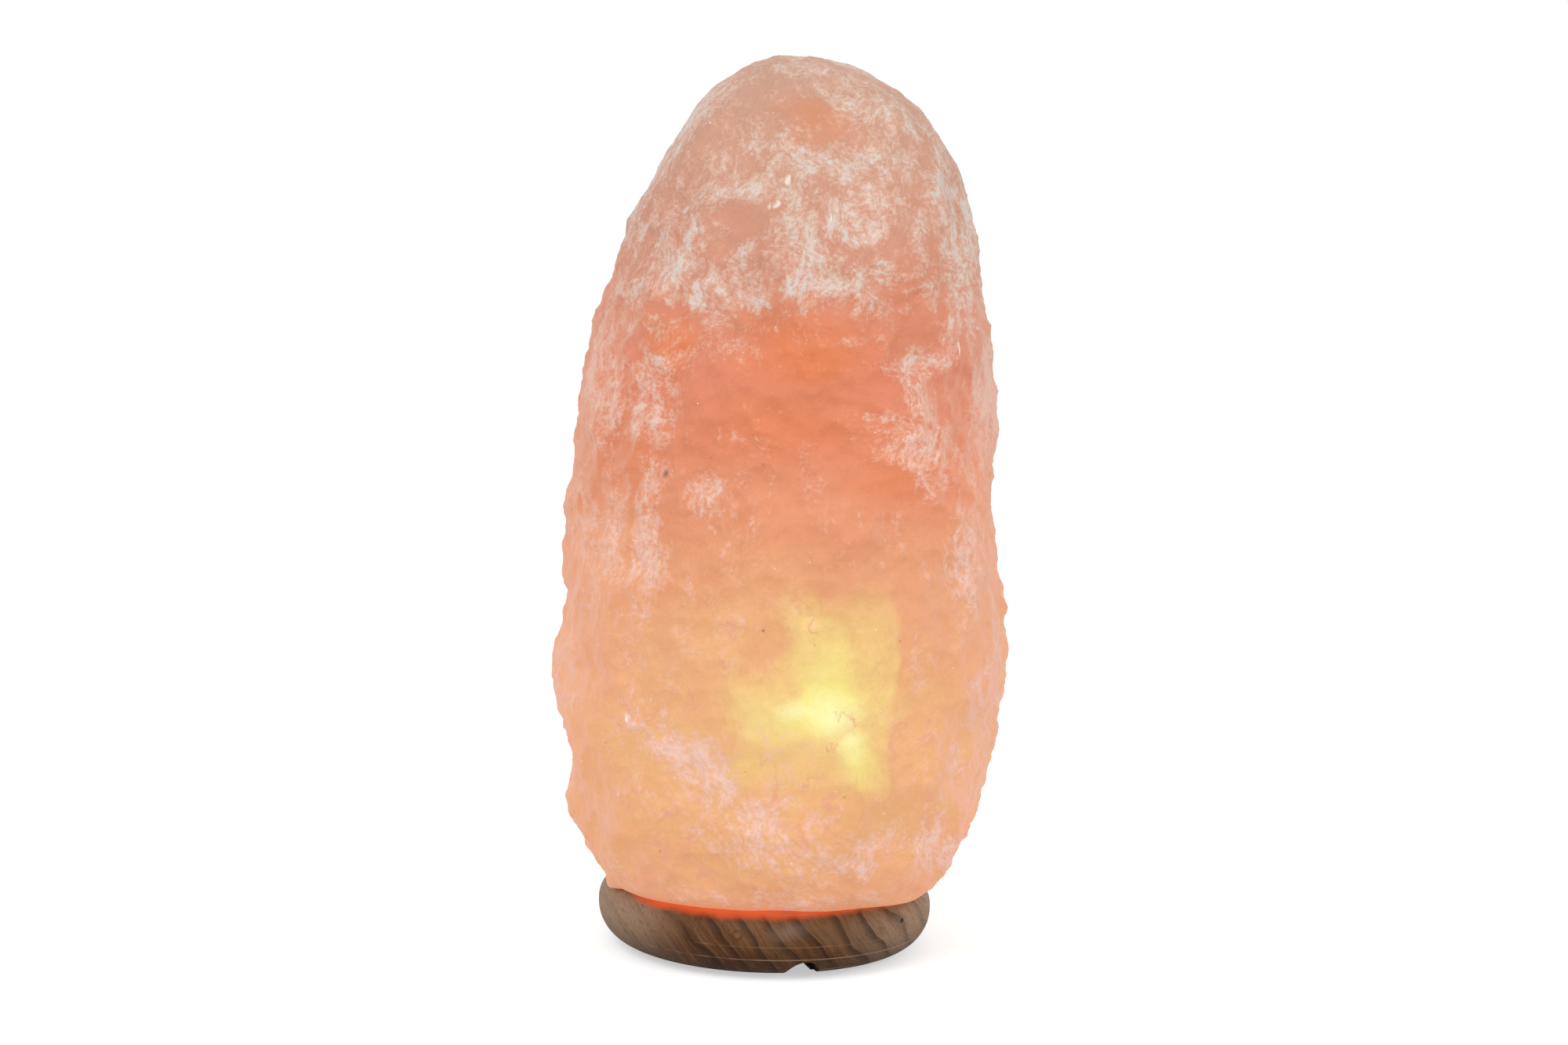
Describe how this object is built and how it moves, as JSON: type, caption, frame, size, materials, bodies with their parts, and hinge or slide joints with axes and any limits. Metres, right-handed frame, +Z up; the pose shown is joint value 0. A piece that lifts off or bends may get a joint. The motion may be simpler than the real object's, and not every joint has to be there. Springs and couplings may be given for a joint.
{
  "type": "salt crystal lamp",
  "caption": "Table lamp carved from a rough salt boulder on a turned wood disc, with a clip-in screw lamp holder and a pear bulb in its bored hollow.",
  "frame": {"origin": "centre of the wood disc's axis at the table, in the plane that the felt ring stands on", "axes": "+Z up along the disc's axis; -Y is the lamp's front as pictured; +X is the viewer's right when facing the front"},
  "size_m": [0.1627, 0.137, 0.3205],
  "materials": {
    "turned_wood": "satin",
    "rock_salt": "matte",
    "zinc_steel": "satin",
    "grey_nylon": "matte",
    "dark_felt": "matte",
    "white_moulding": "satin",
    "steatite": "matte",
    "plain_brass": "satin",
    "spring_bronze": "satin",
    "spring_steel": "satin",
    "solder": "satin",
    "black_glass": "gloss",
    "nickelled_brass": "satin",
    "clear_glass": "gloss",
    "hot_tungsten": "satin"
  },
  "bodies": {
    "lamp_body": {"wood_base": "turned_wood", "salt_crystal": "rock_salt", "base_screws": "zinc_steel", "salt_plugs": "grey_nylon", "felt_ring": "dark_felt"},
    "lamp_holder": {"holder_cap": "white_moulding", "holder_sleeve": "white_moulding", "holder_insert": "steatite", "screw_shell": "plain_brass", "cord_nipple": "zinc_steel", "nipple_nuts": "zinc_steel", "terminal_blocks": "plain_brass", "terminal_screws": "zinc_steel", "centre_contact": "spring_bronze", "shell_contact": "spring_bronze", "clip_strap": "spring_steel"},
    "clip_left": {"clip_arm_left": "spring_steel"},
    "clip_right": {"clip_arm_right": "spring_steel"},
    "bulb_carrier": {"bulb_tip": "solder"},
    "bulb": {"bulb_insulator": "black_glass", "bulb_screw_cap": "nickelled_brass", "bulb_glass": "clear_glass", "bulb_stem": "clear_glass", "lead_wires": "nickelled_brass", "filament": "hot_tungsten"}
  },
  "joints": [
    {"name": "holder_pull", "type": "slide", "parent": "lamp_body", "child": "lamp_holder", "axis": [0, 0, -1], "range_m": [0, 0.11]},
    {"name": "clip_squeeze_left", "type": "hinge", "parent": "lamp_holder", "child": "clip_left", "pos_m": [-0.0152, 0, 0.0136], "axis": [0, 1, 0], "range_deg": [0, 8], "stiffness_Nm_per_rad": 0.3, "springref_deg": -5.73},
    {"name": "clip_squeeze_right", "type": "hinge", "parent": "lamp_holder", "child": "clip_right", "pos_m": [0.0152, 0, 0.0136], "axis": [0, -1, 0], "range_deg": [0, 8], "stiffness_Nm_per_rad": 0.3, "springref_deg": -5.73},
    {"name": "bulb_lift", "type": "slide", "parent": "lamp_holder", "child": "bulb_carrier", "axis": [0, 0, 1], "range_m": [0, 0.01975]},
    {"name": "bulb_turn", "type": "hinge", "parent": "bulb_carrier", "child": "bulb", "pos_m": [0, 0, 0.04], "axis": [0, 0, 1], "range_deg": [0, 2520]}
  ],
  "couplings": [
    {"joint": "bulb_turn", "follows": "bulb_lift", "rad_per_m": 2226.5}
  ]
}
